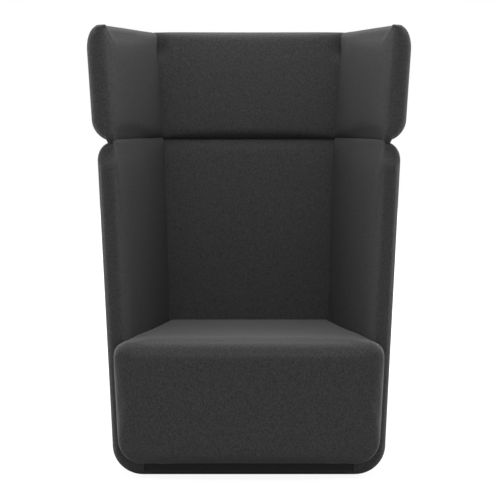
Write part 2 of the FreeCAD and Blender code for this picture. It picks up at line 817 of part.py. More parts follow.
def parts_of_fixings(tub_nodes, head_nodes):
    """Steel brackets and pins that hold the headrest on the tub, cut into boards and foam."""
    nodes = {}
    low = tub_top - bracket_leg
    high = head_low + bracket_leg
    tub_block_high = tub_top - board_top_gap
    head_block_low = head_low + head_board_low_gap
    bars = []
    screws = []
    packers = []
    for x in (-bracket_half, bracket_half):
        bars.append(bracket_bar(x, low, high))
        packers.append(packer(tub, x, tub_block_high - packer_low, tub_block_high))
        packers.append(packer(head, x, head_block_low, head_block_low + packer_high))
        screws.append(bracket_screw(tub, x, low + screw_edge))
        screws.append(bracket_screw(head, x, high - screw_edge))
    screw_set = Part.makeCompound(screws)
    bracket = Part.makeCompound(bars).cut(screw_set)
    packer_set = Part.makeCompound(packers).cut(screw_set)
    nodes["headrest_brackets"] = bracket
    nodes["bracket_screws"] = screw_set
    nodes["bracket_packers"] = packer_set

    z_low = tub_top - pin_length / 2.0
    z_high = head_low + frame_low_gap + frame_board
    x = tub.side(tub_top, pin_depth, pin_inset)
    pins = []
    block_low = tub_block_high - pin_block_height
    block = tub_prism(tub, block_low, tub_block_high, 0.0, felt + board, felt)
    block = block.cut(tub_prism(tub, block_low - past, tub_block_high + past, -past,
                                tub_wall - skin - pin_block_cover, -far_past))
    block = largest(block.common(box(0.0, reach, pin_depth - pin_block_half,
                                     pin_depth + pin_block_half, 0.0, tub_top)))
    for sign in (-1.0, 1.0):
        pins.append(Part.makeCylinder(pin_radius, z_high - z_low, V(sign * x, pin_depth, z_low)))
    block = block.cut(pins[1])
    blocks = Part.makeCompound([mirrored(block), block])
    nodes["headrest_pins"] = Part.makeCompound(pins)
    nodes["pin_blocks"] = blocks

    for name in ("back_foam", "back_pad_cover", "outer_cover_back"):
        for tool in (*bars, *packers, *screws):
            if tub_nodes[name].distToShape(tool)[0] < touch:
                tub_nodes[name] = largest(tub_nodes[name].cut(tool))
    for name in ("headrest_foam", "headrest_pad_cover", "headrest_outer_cover_back",
                 "headrest_bottom_frame"):
        for tool in (*bars, *packers, *screws):
            if head_nodes[name].distToShape(tool)[0] < touch:
                head_nodes[name] = largest(head_nodes[name].cut(tool))
    for side, pin, solid in (("left", pins[0], blocks.Solids[0]), ("right", pins[1], blocks.Solids[1])):
        for name in ("side_foam_", "side_pad_cover_", "side_board_", "outer_cover_"):
            tub_nodes[name + side] = largest(tub_nodes[name + side].cut(pin).cut(solid))
        for name in ("wing_foam_", "wing_pad_cover_", "headrest_outer_cover_"):
            head_nodes[name + side] = largest(head_nodes[name + side].cut(pin))
        head_nodes["headrest_bottom_frame"] = largest(head_nodes["headrest_bottom_frame"].cut(pin))
    return nodes


def build():
    tub_nodes = parts_of_tub()
    head_nodes = parts_of_headrest()
    fixings = parts_of_fixings(tub_nodes, head_nodes)
    covers = [tub_nodes["outer_cover_left"], tub_nodes["outer_cover_right"]]
    posts = [tub_nodes["corner_post_left"], tub_nodes["corner_post_right"]]
    nodes = {}
    for group in (tub_nodes, head_nodes, fixings, parts_of_seat(), parts_of_base(covers),
                  parts_of_seat_box(posts), parts_of_glides()):
        nodes.update(group)
    return nodes


def export(nodes):
    os.makedirs("parts", exist_ok=True)
    for name, shape in nodes.items():
        placed = shape.copy()
        placed.translate(V(0.0, front_y, 0.0))
        placed.exportStep("parts/" + name + ".step")
        print(name, "solids", len(placed.Solids), "volume", round(placed.Volume), "valid", placed.isValid())


export(build())
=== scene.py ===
# %% [markdown]
# # Acoustic high back lounge chair
#
# The chair is a tub of two splayed side walls and a reclined back, a seat block that
# closes its mouth, and a winged headrest that stands on top. Every wall is a sandwich:
# a skin of thick wool felt outside, plywood, foam, and a felt-covered pad inside. The
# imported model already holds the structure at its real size, so the first step loads it
# and reads the few places that everything else is measured from.

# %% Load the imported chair
import json
import math

import bpy
from mathutils import Matrix, Vector


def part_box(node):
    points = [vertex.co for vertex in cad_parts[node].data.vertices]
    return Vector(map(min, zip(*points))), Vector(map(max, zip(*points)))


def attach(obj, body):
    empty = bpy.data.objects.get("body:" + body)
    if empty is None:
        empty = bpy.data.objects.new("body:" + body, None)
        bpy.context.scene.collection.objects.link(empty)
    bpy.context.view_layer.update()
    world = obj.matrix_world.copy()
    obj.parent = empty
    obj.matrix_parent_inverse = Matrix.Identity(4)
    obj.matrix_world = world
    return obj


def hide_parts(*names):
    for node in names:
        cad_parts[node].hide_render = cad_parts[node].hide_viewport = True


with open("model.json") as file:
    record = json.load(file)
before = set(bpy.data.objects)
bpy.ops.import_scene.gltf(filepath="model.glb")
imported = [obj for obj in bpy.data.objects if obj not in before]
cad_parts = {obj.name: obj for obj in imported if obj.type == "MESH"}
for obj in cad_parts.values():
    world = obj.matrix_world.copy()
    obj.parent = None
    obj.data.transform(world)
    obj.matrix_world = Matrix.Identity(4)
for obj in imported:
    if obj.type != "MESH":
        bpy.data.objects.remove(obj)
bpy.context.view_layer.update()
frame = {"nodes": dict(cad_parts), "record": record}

# %% [markdown]
# ## The planes of the walls
#
# A side wall leans outwards as it rises and splays outwards towards the sitter, and the
# back leans away. Each is a flat plane, so a piece of a wall can be modelled upright and
# square, and then laid against its plane by one matrix. That keeps the modelling simple:
# in the square frame "outward" is one axis, and the wall's outer face is at zero.
#
# The tub and the headrest share one set of names. `low` and `high` are its ends, `half` is
# half its width at the front, `lean` and `slope` say how far the sides and the back lean
# with the height, and `wall` and `back` are the thicknesses. The felt stands out by
# `loft`, ends `sunk` below the top, and is rounded by `edge`, `bottom`, `corner` and
# `top`. The pads are rounded by `nose`, `crown`, `hem` and `back_top`. A name that ends in
# `tall` says how much taller than wide a round is.

# %% Sizes of the two tubs
splay = math.tan(math.radians(12.0))
tub = {
    "low": 0.0056, "high": 1.038, "half": 0.4155, "lean": 0.052 / 1.028,
    "slope": math.tan(math.radians(5.5)), "wall": 0.050, "back": 0.088,
    "loft": 0.006, "edge": 0.020, "bottom": 0.087, "corner": 0.104, "top": 0.046, "top_tall": 1.27,
    "nose": 0.0092, "crown": 0.0092, "crown_tall": 3.0, "hem": 0.0, "back_top": 0.036, "sunk": 0.001,
}
head = {
    "low": 1.0368, "high": 1.400, "half": 0.4773, "lean": 0.024 / 0.3626,
    "slope": math.tan(math.radians(2.5)), "wall": 0.058, "back": 0.096,
    "loft": 0.0075, "edge": 0.023, "bottom": 0.067, "corner": 0.100, "top": 0.042, "top_tall": 1.9,
    "nose": 0.021, "crown": 0.020, "crown_tall": 2.0, "hem": 0.019, "sunk": 0.003,
}
front_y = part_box("side_pad_cover_right")[0].y
seat_height = 0.428
seat_depth = 0.543
felt = 0.010

tub["back_factor"] = math.hypot(1.0, tub["slope"])
tub["rear"] = seat_depth + tub["back"] * tub["back_factor"] - tub["slope"] * (seat_height - tub["low"])
head["back_factor"] = math.hypot(1.0, head["slope"])
head["rear"] = tub["rear"] + tub["slope"] * (tub["high"] - tub["low"])
for shell in (tub, head):
    shell["side_factor"] = math.sqrt(1.0 + splay ** 2 + shell["lean"] ** 2)


def rear_depth(shell, z, inset=0.0):
    """Depth of the back at a height, a distance inside its outer face."""
    return shell["rear"] + shell["slope"] * (z - shell["low"]) - inset * shell["back_factor"]


def half_width(shell, z, depth, inset=0.0):
    """Half width at a height and depth, a distance inside the outer face."""
    return shell["half"] + shell["lean"] * (z - shell["low"]) - splay * depth - inset * shell["side_factor"]


def seam_inset(shell):
    """How far inside the wall's outer face the outer felt ends."""
    return shell["top"] - shell["loft"]


def side_plane(shell):
    """Matrix that lays a square piece against the right wall: X outward, Y depth, Z up."""
    start = shell["half"] - shell["lean"] * shell["low"]
    return Matrix(((shell["side_factor"], -splay, shell["lean"], start),
                   (0.0, 1.0, 0.0, front_y),
                   (0.0, 0.0, 1.0, 0.0),
                   (0.0, 0.0, 0.0, 1.0)))


def back_plane(shell):
    """Matrix that lays a square piece against the back: X across, Y outward, Z up."""
    start = front_y + shell["rear"] - shell["slope"] * shell["low"]
    return Matrix(((1.0, 0.0, 0.0, 0.0),
                   (0.0, shell["back_factor"], shell["slope"], start),
                   (0.0, 0.0, 1.0, 0.0),
                   (0.0, 0.0, 0.0, 1.0)))


print("front plane y %.4f, rear of the tub at its top %.4f"
      % (front_y, front_y + rear_depth(tub, tub["high"])))

# %% [markdown]
# ## Working by hand, in code
#
# An operator acts on whatever is selected, so each helper starts by clearing the
# selection. Vertices, edges and faces are then picked by where they are or which way
# they face, and the operator does the same as it would under the mouse. A point counts as
# on a plane or a corner when it is as close as the first two values here say, and a face
# counts as flat along an axis when its normal is at least the third.

# %% Selecting
on_plane = 0.001
on_corner = 0.0005
flat_face = 0.9999


def only(piece):
    """Make one object the whole selection."""
    bpy.ops.object.select_all(action="DESELECT")
    piece.select_set(True)
    bpy.context.view_layer.objects.active = piece
    return piece


def pick(piece, domain, test):
    """Enter edit mode with only the vertices, edges or faces that pass a test."""
    only(piece)
    bpy.ops.object.mode_set(mode="EDIT")
    bpy.ops.mesh.select_mode(type={"vertices": "VERT", "edges": "EDGE", "polygons": "FACE"}[domain])
    bpy.ops.mesh.select_all(action="DESELECT")
    bpy.ops.object.mode_set(mode="OBJECT")
    count = 0
    for element in getattr(piece.data, domain):
        if domain == "vertices":
            hit = test(element.co)
        elif domain == "edges":
            a, b = (piece.data.vertices[i].co for i in element.vertices)
            hit = test(a, b)
        else:
            hit = test(element.center, element.normal)
        if hit:
            element.select = True
            count += 1
    bpy.ops.object.mode_set(mode="EDIT")
    return count


def done(piece):
    """Leave edit mode."""
    bpy.ops.object.mode_set(mode="OBJECT")
    return piece


# %% [markdown]
# A box is the plainest start for an upholstered wall: its corners are moved onto the
# wall's planes, and the turns of the felt are bevels. Where a round is taller than it is
# wide, the piece is squeezed in height for the bevel and stretched back after it.

# %% Boxes, moves and rounds
def block(name, low, high):
    """A box between two corners, ready to be shaped."""
    low, high = Vector(low), Vector(high)
    bpy.ops.object.select_all(action="DESELECT")
    bpy.ops.mesh.primitive_cube_add(size=1.0, location=(low + high) / 2.0)
    piece = bpy.context.object
    piece.name = name
    piece.scale = high - low
    bpy.ops.object.transform_apply(location=True, rotation=True, scale=True)
    return piece


def move(piece, test, offset):
    """Move the vertices that pass a test."""
    pick(piece, "vertices", test)
    bpy.ops.transform.translate(value=offset)
    return done(piece)


def round_edges(piece, test, radius, segments, tall=1.0):
    """Bevel the edges that pass a test; the round may be taller than it is wide."""
    count = pick(piece, "edges", test)
    done(piece)
    if count:
        piece.data.transform(Matrix.Diagonal((1.0, 1.0, 1.0 / tall, 1.0)))
        bpy.ops.object.mode_set(mode="EDIT")
        bpy.ops.mesh.bevel(offset_type="OFFSET", offset=radius, segments=segments, profile=0.5,
                           clamp_overlap=False, loop_slide=True)
        bpy.ops.object.mode_set(mode="OBJECT")
        piece.data.transform(Matrix.Diagonal((1.0, 1.0, tall, 1.0)))
    return piece


# %% [markdown]
# Felt is a skin with open ends, so faces are taken away again, whole or all but a border.
# A cut along a plane first gives them an edge where the felt is to end.

# %% Cuts and openings
def remove_faces(piece, test):
    """Delete the faces that pass a test."""
    pick(piece, "polygons", test)
    bpy.ops.mesh.delete(type="FACE")
    return done(piece)


def cut(piece, point, normal, test=lambda centre, normal: True):
    """Cut the faces that pass a test along a plane."""
    pick(piece, "polygons", test)
    bpy.ops.mesh.bisect(plane_co=point, plane_no=normal)
    return done(piece)


def open_face(piece, test, width):
    """Open the flat faces that pass a test, and leave a border of a width around the hole."""
    if pick(piece, "polygons", test):
        bpy.ops.mesh.inset(thickness=width, use_boundary=True)
        bpy.ops.mesh.delete(type="FACE")
    return done(piece)


def tidy(piece, distance=0.0001):
    """Merge doubled points and turn every face outwards."""
    pick(piece, "vertices", lambda co: True)
    bpy.ops.mesh.remove_doubles(threshold=distance)
    bpy.ops.mesh.normals_make_consistent(inside=False)
    return done(piece)


# %% [markdown]
# Modifiers are applied at once, so that each piece ends as plain mesh with its place in
# it. A piece for the left is the mirror image of the right one, with its own mesh.

# %% Modifiers, copies and joins
def add_modifier(piece, kind, **settings):
    """Add a modifier, set it and apply it at once."""
    only(piece)
    modifier = piece.modifiers.new(kind.title(), kind)
    for key, value in settings.items():
        setattr(modifier, key, value)
    bpy.ops.object.modifier_apply(modifier=modifier.name)
    return piece


def smooth(piece, angle=40.0):
    """Shade smooth, except over edges sharper than an angle."""
    only(piece)
    bpy.ops.object.shade_smooth_by_angle(angle=math.radians(angle))
    return piece


def copied(piece, name):
    """A copy with a mesh of its own."""
    other = piece.copy()
    other.data = piece.data.copy()
    other.name = name
    bpy.context.scene.collection.objects.link(other)
    return other


def mirrored(piece, name):
    """The same piece for the other side of the chair, with its faces outwards again."""
    other = copied(piece, name)
    other.data.transform(Matrix.Diagonal((-1.0, 1.0, 1.0, 1.0)))
    other.data.flip_normals()
    return other


def joined(name, *pieces):
    """Join pieces into the first one."""
    only(pieces[0])
    for piece in pieces[1:]:
        piece.select_set(True)
    bpy.ops.object.join()
    pieces[0].name = name
    return pieces[0]


def pinch(piece, centre, size, offset):
    """Push the surface around a point, with a soft fall-off."""
    centre = Vector(centre)
    nearest = min(piece.data.vertices, key=lambda v: (v.co - centre).length).co.copy()
    pick(piece, "vertices", lambda co: (co - nearest).length < 1e-6)
    bpy.ops.transform.translate(value=offset, use_proportional_edit=True, proportional_size=size,
                                proportional_edit_falloff="SMOOTH")
    return done(piece)


# %% [markdown]
# ## Padding that swells
#
# A pad is foam under tight felt. The felt pulls flat where it is stapled to the boards
# and swells in between, so the shape is simulated: the pad is remeshed into even small
# faces, the felt is a cloth held at its hidden sides, and air pressure stands in for the
# foam. The swelling is capped softly, because foam pushes back, and the result is applied.

# %% Swelling a pad
tight_felt = {"quality": 4, "mass": 0.4, "tension_stiffness": 30.0, "compression_stiffness": 30.0,
              "bending_stiffness": 2.0, "use_pressure": True}


def swell(piece, held, voxel, cap, pressure=4.0, frames=20):
    """Remesh a pad, blow it up as cloth that is held where a test says, and apply it."""
    add_modifier(piece, "REMESH", mode="VOXEL", voxel_size=voxel, use_smooth_shade=True)
    add_modifier(piece, "SMOOTH", factor=0.5, iterations=3)
    rest = [v.co.copy() for v in piece.data.vertices]
    pins = piece.vertex_groups.new(name="held")
    pins.add([v.index for v in piece.data.vertices if held(v.co)], 1.0, "REPLACE")
    only(piece)
    cloth = piece.modifiers.new("Cloth", "CLOTH")
    for key, value in tight_felt.items():
        setattr(cloth.settings, key, value)
    cloth.settings.uniform_pressure_force = pressure
    cloth.settings.effector_weights.gravity = 0.0
    cloth.settings.vertex_group_mass = "held"
    cloth.collision_settings.use_collision = False
    cloth.point_cache.frame_start = 1
    cloth.point_cache.frame_end = frames
    scene = bpy.context.scene
    for number in range(1, frames + 1):
        scene.frame_set(number)
    bpy.ops.object.modifier_apply(modifier=cloth.name)
    scene.frame_set(1)
    piece.vertex_groups.clear()
    farthest = 0.0
    for vertex, start in zip(piece.data.vertices, rest):
        step = vertex.co - start
        farthest = max(farthest, step.length)
        if step.length > 1e-7:
            vertex.co = start + step.normalized() * cap * (1.0 - math.exp(-step.length / cap))
    print(piece.name, "points", len(rest), "swelled by up to %.1f mm before the cap" % (farthest * 1000.0))
    return piece


def finish_pad(piece, plane, softening):
    """Smooth a swollen pad, refine it once and lay it against its wall."""
    add_modifier(piece, "SMOOTH", factor=0.5, iterations=softening)
    add_modifier(piece, "SUBSURF", levels=1, render_levels=1)
    piece.data.transform(plane)
    return smooth(piece, 80.0)


# %% [markdown]
# ## Wool felt
#
# Dark melange felt is spun from nearly black and mid grey fibres. A picture of felt could
# be wrapped around each piece, but it would stretch over the rounds and show its seams, so
# the fibres are noise in space instead. The helpers here make and wire the few kinds of
# node that every finish uses.

# %% Node helpers
def group_of(name, inputs, outputs):
    """An empty shader node group with named sockets."""
    group = bpy.data.node_groups.new(name, "ShaderNodeTree")
    for label, kind, value in inputs:
        socket = group.interface.new_socket(label, in_out="INPUT", socket_type=kind)
        socket.default_value = value
    for label, kind in outputs:
        group.interface.new_socket(label, in_out="OUTPUT", socket_type=kind)
    return group, group.nodes.new("NodeGroupInput"), group.nodes.new("NodeGroupOutput")


def noise(group, vector, scale, detail, roughness=0.6, stretch=None):
    """Noise on a vector socket, with an optional stretch of its space."""
    node = group.nodes.new("ShaderNodeTexNoise")
    node.inputs["Detail"].default_value = detail
    node.inputs["Roughness"].default_value = roughness
    node.inputs["Scale"].default_value = scale
    if stretch:
        mapping = group.nodes.new("ShaderNodeMapping")
        mapping.inputs["Scale"].default_value = stretch
        group.links.new(vector, mapping.inputs["Vector"])
        vector = mapping.outputs["Vector"]
    group.links.new(vector, node.inputs["Vector"])
    return node.outputs["Fac"]


def remap(group, value, low, high, to_low, to_high):
    """Map a value from one range to another, held inside it."""
    node = group.nodes.new("ShaderNodeMapRange")
    node.inputs["From Min"].default_value = low
    node.inputs["From Max"].default_value = high
    node.inputs["To Min"].default_value = to_low
    node.inputs["To Max"].default_value = to_high
    group.links.new(value, node.inputs["Value"])
    return node.outputs["Result"]


def combine(group, operation, a, b):
    """Maths on two values, each a socket or a number."""
    node = group.nodes.new("ShaderNodeMath")
    node.operation = operation
    for slot, value in zip(node.inputs, (a, b)):
        if isinstance(value, (int, float)):
            slot.default_value = value
        else:
            group.links.new(value, slot)
    return node.outputs[0]


def blend_colours(group, factor, a, b):
    """Mix two colours, each a socket or a colour, by a value."""
    node = group.nodes.new("ShaderNodeMix")
    node.data_type = "RGBA"
    group.links.new(factor, node.inputs["Factor"])
    for slot, value in zip((node.inputs[6], node.inputs[7]), (a, b)):
        if isinstance(value, tuple):
            slot.default_value = value
        else:
            group.links.new(value, slot)
    return node.outputs[2]


# %% [markdown]
# The felt's colour wanders at three scales: single fibres, upright strands, and clouds
# where one shade gathers. The group mixes two greys by their sum, and gives out a colour,
# a roughness and a height, so the fibres catch the light as well. One group serves every
# felt piece.

# %% The melange group
def melange_group():
    """Fibres and clouds of two greys, with a felted surface."""
    group, entry, result = group_of(
        "Melange",
        [("Dark", "NodeSocketColor", (0.02, 0.02, 0.02, 1.0)),
         ("Light", "NodeSocketColor", (0.1, 0.1, 0.1, 1.0)),
         ("Vector", "NodeSocketVector", (0.0, 0.0, 0.0))],
        [("Colour", "NodeSocketColor"), ("Roughness", "NodeSocketFloat"), ("Height", "NodeSocketFloat")])
    vector = entry.outputs["Vector"]
    fibres = noise(group, vector, 900.0, 4.0, 0.7)
    strands = noise(group, vector, 420.0, 3.0, 0.6, (1.0, 1.0, 0.35))
    clouds = noise(group, vector, 360.0, 3.0, 0.7)
    mixed = combine(group, "ADD", combine(group, "MULTIPLY", fibres, 0.4),
                    combine(group, "ADD", combine(group, "MULTIPLY", strands, 0.25),
                            combine(group, "MULTIPLY", clouds, 0.35)))
    shade = remap(group, mixed, 0.39, 0.61, 0.0, 1.0)
    group.links.new(blend_colours(group, shade, entry.outputs["Dark"], entry.outputs["Light"]),
                    result.inputs["Colour"])
    group.links.new(remap(group, fibres, 0.3, 0.7, 0.86, 1.0), result.inputs["Roughness"])
    height = combine(group, "ADD", combine(group, "MULTIPLY", fibres, 0.6),
                     combine(group, "MULTIPLY", strands, 0.4))
    group.links.new(height, result.inputs["Height"])
    return group


melange = melange_group()
print("melange group has", len(melange.nodes), "nodes")


# %% [markdown]
# Three felts come from the one group. The outer felt is a little lighter than the felt of
# the pads, and only the seat block has sheen, which lightens its rolled rim.

# %% Felt materials
def new_material(name):
    """A material with an empty Principled shader, its object coordinates ready."""
    material = bpy.data.materials.new(name)
    material.use_nodes = True
    tree = material.node_tree
    shader = tree.nodes["Principled BSDF"]
    place = tree.nodes.new("ShaderNodeTexCoord")
    return material, tree, shader, place.outputs["Object"]


def add_bump(tree, shader, height, strength, distance):
    """Raise the surface by a height, in metres."""
    bump = tree.nodes.new("ShaderNodeBump")
    bump.inputs["Strength"].default_value = strength
    bump.inputs["Distance"].default_value = distance
    tree.links.new(height, bump.inputs["Height"])
    tree.links.new(bump.outputs["Normal"], shader.inputs["Normal"])


def felt_material(name, dark, light, sheen):
    """Melange felt between two greys."""
    material, tree, shader, place = new_material(name)
    node = tree.nodes.new("ShaderNodeGroup")
    node.node_tree = melange
    node.inputs["Dark"].default_value = (*dark, 1.0)
    node.inputs["Light"].default_value = (*light, 1.0)
    tree.links.new(place, node.inputs["Vector"])
    tree.links.new(node.outputs["Colour"], shader.inputs["Base Color"])
    tree.links.new(node.outputs["Roughness"], shader.inputs["Roughness"])
    shader.inputs["Specular IOR Level"].default_value = 0.1
    shader.inputs["Sheen Weight"].default_value = sheen
    shader.inputs["Sheen Roughness"].default_value = 0.45
    shader.inputs["Sheen Tint"].default_value = (0.8, 0.8, 0.82, 1.0)
    add_bump(tree, shader, node.outputs["Height"], 0.5, 0.0006)
    return material


felt_inside = felt_material("felt_inside", (0.024, 0.024, 0.025), (0.094, 0.094, 0.096), 0.0)
felt_outside = felt_material("felt_outside", (0.027, 0.027, 0.028), (0.098, 0.098, 0.1), 0.0)
felt_seat = felt_material("felt_seat", (0.024, 0.024, 0.025), (0.094, 0.094, 0.096), 0.14)
print("felts:", felt_inside.name, felt_outside.name, felt_seat.name)


def dress(piece, material, body, slot, *nodes):
    """Give a finished piece its material and its body, and hide the nodes it stands for; the slot is not
    used.
    """
    piece.data.materials.clear()
    piece.data.materials.append(material)
    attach(piece, body)
    if nodes:
        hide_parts(*nodes)
    return piece


# %% [markdown]
# ## The outer skins
#
# The tub and the headrest are each wrapped in a skin of thick felt with round rear
# corners, a round bottom edge, and a lip that rolls over the top and ends at a seam. A
# profile could be swept around the chair, but the walls lean two ways at once. A box gets
# that for nothing: its corners are moved to the wall planes, the edges are rounded, the
# open sides are removed, and the rest is given the felt's thickness, inwards.

# %% A skin with its seams
seam_width = 0.0024
seam_depth = 0.0014
corner_reach = 0.092
wide_border_top = 0.300
narrow_border = 0.002
band_half = 0.324
band_top = 0.100
front_zone = 0.05


def sew(piece, shell, side):
    """Sink a seam into a skin, down a rear corner."""
    normal = Vector((1.0, splay * side, -shell["lean"] * side)).normalized()
    start = Vector((side * half_width(shell, 0.0, 0.0, corner_reach), front_y, 0.0))
    for step in (-seam_width, 0.0, seam_width):
        cut(piece, start + normal * step, normal)

    pick(piece, "vertices", lambda co: abs((co - start).dot(normal)) < 0.0002 and co.y > 0.0)
    bpy.ops.transform.shrink_fatten(value=-seam_depth)
    return done(piece)


def outer_skin(name, shell, hem):
    """A felt skin over two sides and a back, turned in around the front and the top.

    With a hem it also turns in underneath; without one it ends under the curve of its bottom edge.
    """
    low, high, loft = shell["low"], shell["high"] - shell["sunk"], shell["loft"]
    piece = block(name, (-0.5, 0.0, low), (0.5, 0.5, high))
    for z in (low, high):
        rear = rear_depth(shell, z)
        for side in (-1.0, 1.0):
            for depth, old in ((0.0, 0.0), (rear, 0.5)):
                target = Vector((side * half_width(shell, z, depth, -loft), front_y + depth, z))
                corner = Vector((side * 0.5, old, z))
                move(piece, lambda co: (co - corner).length < on_corner, target - corner)
    front, behind = front_y + on_plane, front_y + 0.1
    round_edges(piece, lambda a, b: abs(a.z - b.z) > 0.1 and min(a.y, b.y) > behind, shell["corner"], 12)
    round_edges(piece, lambda a, b: max(a.z, b.z) < low + on_plane and max(a.y, b.y) > front,
                shell["bottom"], 12)
    round_edges(piece, lambda a, b: min(a.z, b.z) > high - on_plane and max(a.y, b.y) > front,
                shell["top"], 10, shell["top_tall"])
    round_edges(piece, lambda a, b: max(a.y, b.y) < front, shell["edge"], 7)
    tidy(piece)
    cut(piece, (0.0, 0.0, wide_border_top), (0.0, 0.0, 1.0))

    def facing(centre, normal):
        return normal.y < -flat_face and centre.y < front

    open_face(piece, lambda c, n: facing(c, n) and c.z < wide_border_top, shell["top"] - shell["edge"])
    open_face(piece, lambda c, n: facing(c, n) and c.z > wide_border_top, narrow_border)
    if hem:
        open_face(piece, lambda c, n: n.z < -flat_face and c.z < low + on_plane, hem)
    else:
        remove_faces(piece, lambda c, n: n.z < -0.93 and c.z < low + 0.03)
    remove_faces(piece, lambda c, n: n.z > flat_face and c.z > high - on_plane)
    # The felt is cut away in front below band_top; the near-black strip under the seat block, whose black is
    # painted shade, stands there instead.
    for side in (-1.0, 1.0):
        cut(piece, (side * band_half, 0.0, 0.0), (1.0, 0.0, 0.0),
            lambda c, n: c.z < band_top and c.y < front_y + front_zone)
    remove_faces(piece, lambda c, n: c.y < front_y + front_zone
                 and abs(c.x) < (band_half if c.z < band_top else 0.1))
    tidy(piece)
    for side in (-1.0, 1.0):
        sew(piece, shell, side)
    add_modifier(piece, "SOLIDIFY", thickness=felt, offset=-1.0, use_even_offset=True)
    print(name, "faces", len(piece.data.polygons))
    return smooth(piece, 35.0)


# %% [markdown]
# The tub's skin turns in under the floor of the tub. The headrest's ends under the curve
# of its bottom edge, because the headrest sits close on the tub.

# %% Tub skin and headrest skin
tub_hem = 0.011
tub_skin = outer_skin("tub_skin", tub, tub_hem)
head_skin = outer_skin("headrest_skin", head, 0.0)
dress(tub_skin, felt_outside, "chair", "felt_outside", "outer_cover_left",
      "outer_cover_back", "outer_cover_right")
dress(head_skin, felt_outside, "chair", "felt_outside", "headrest_outer_cover_left",
      "headrest_outer_cover_back", "headrest_outer_cover_right")

# %% [markdown]
# ## Side pads and wing pads
#
# A side pad starts as three boxes: one that fills the wall behind the felt, one that comes
# forward beside the felt's turned-in edge, and one that rises to the seam on top. They are
# modelled square, with X outward from zero at the wall's outer face, rounded, and made one
# by the remesh. Only the right pad is made, and the left one is its mirror image.

# %% A wall box and a wall pad
pad_back = -felt - 0.001
under_skin = 0.004
under_seam = 0.0006
proud = 0.0012
filling_start = 0.014
filling_end = 0.06


def wall_box(shell, inner, outer, depth, low, high):
    """A box in a side wall's square frame, running back into the back pad."""
    piece = block("box", (inner, depth, low), (outer, 0.4, high))
    for z in (low, high):
        rear = rear_depth(shell, z, shell["back"]) + 0.014
        move(piece, lambda co: co.y > 0.39 and abs(co.z - z) < on_plane, (0.0, rear - 0.4, 0.0))
    return piece


def wall_pad(name, shell, low, foot, foot_round, voxel, cap):
    """A swollen side pad of a shell; its front comes down lower than the rest, to a rounded foot."""
    high, face, seam, hem = shell["high"], -shell["wall"], -seam_inset(shell) - under_seam, shell["hem"]
    outer = shell["loft"] - under_skin
    below, above = (0.010, 0.0) if hem else (0.0, 0.008)
    filling = wall_box(shell, face + 0.005, pad_back, filling_start,
                       low + (filling_end if hem else 0.0), high - filling_end)
    nose = wall_box(shell, face, outer, -proud, foot, high - under_skin)
    crown = wall_box(shell, face, seam, -proud, low - below, high + above)
    round_edges(nose, lambda a, b: min(a.z, b.z) > high - 0.01 and min(a.x, b.x) > outer - on_plane,
                outer - seam, 8, (shell["top"] * shell["top_tall"] - under_skin) / (outer - seam))
    round_edges(nose, lambda a, b: max(a.z, b.z) < foot + on_plane and min(a.x, b.x) > outer - on_plane,
                foot_round, 8)
    round_edges(nose, lambda a, b: max(a.y, b.y) < 0.0 and max(a.x, b.x) > face + 0.002,
                shell["edge"] - under_skin, 6)
    for piece in (nose, crown):
        round_edges(piece, lambda a, b: abs(a.z - b.z) > 0.1 and max(a.y, b.y) < 0.002
                    and max(a.x, b.x) < face + on_plane, shell["nose"], 6)
    round_edges(crown, lambda a, b: min(a.z, b.z) > high - on_plane and max(a.y, b.y) < 0.002, 0.022, 6)
    round_edges(crown, lambda a, b: min(a.z, b.z) > high - on_plane and max(a.x, b.x) < seam - on_plane,
                shell["crown"], 8, shell["crown_tall"])
    if hem:
        round_edges(crown, lambda a, b: max(a.z, b.z) < low + on_plane and max(a.x, b.x) < seam - on_plane,
                    hem, 6, 1.5)
    pad = joined(name, crown, nose, filling)

    def held(co):
        return (co.x > seam - 0.003 or co.y > rear_depth(shell, co.z, shell["back"]) - 0.004
                or (co.z < low + 0.01 and not hem))

    swell(pad, held, voxel, cap)
    return finish_pad(pad, side_plane(shell), 14 if hem else 8)


# %% [markdown]
# A wing stands on the tub, so its pad starts at the headrest's lower end. The tub's pads
# start below the seat, and only their fronts come down further, beside the seat's front.
# They are remade in small faces, about 6 mm wide, which is fine enough for the soft rounds.

# %% The four side pads
side_right = wall_pad("side_pad_right", tub, 0.300, 0.060, 0.030, 0.006, 0.005)
wing_right = wall_pad("wing_pad_right", head, head["low"], head["low"] + 0.006, 0.058, 0.0055, 0.006)
side_left = mirrored(side_right, "side_pad_left")
wing_left = mirrored(wing_right, "wing_pad_left")
for piece, nodes in ((side_right, ("side_pad_cover_right", "side_foam_right")),
                     (side_left, ("side_pad_cover_left", "side_foam_left")),
                     (wing_right, ("wing_pad_cover_right", "wing_foam_right")),
                     (wing_left, ("wing_pad_cover_left", "wing_foam_left"))):
    dress(piece, felt_inside, "chair", "felt_inside", *nodes)

# %% [markdown]
# ## Back pads
#
# The back pads fill the space between the side pads. They are made as the side pads are,
# from three boxes in the back's square frame. Their upright edges are rounded, so a soft
# groove runs down each inner corner, and the tub's rolls back to the felt's seam on top.

# %% A back box and a back pad
back_hem = 0.026
back_round_tall = 1.1
corner_round = 0.036


def back_box(shell, near, far, low, high, inset):
    """A box in the back's square frame, its ends a distance inside the side walls."""
    piece = block("box", (-0.3, near, low), (0.3, far, high))
    for z in (low, high):
        for y in (near, far):
            depth = rear_depth(shell, z) + y * shell["back_factor"]
            wide = half_width(shell, z, depth, inset)
            for side in (-1.0, 1.0):
                corner = Vector((side * 0.3, y, z))
                move(piece, lambda co: (co - corner).length < on_corner, (side * (wide - 0.3), 0.0, 0.0))
    return piece


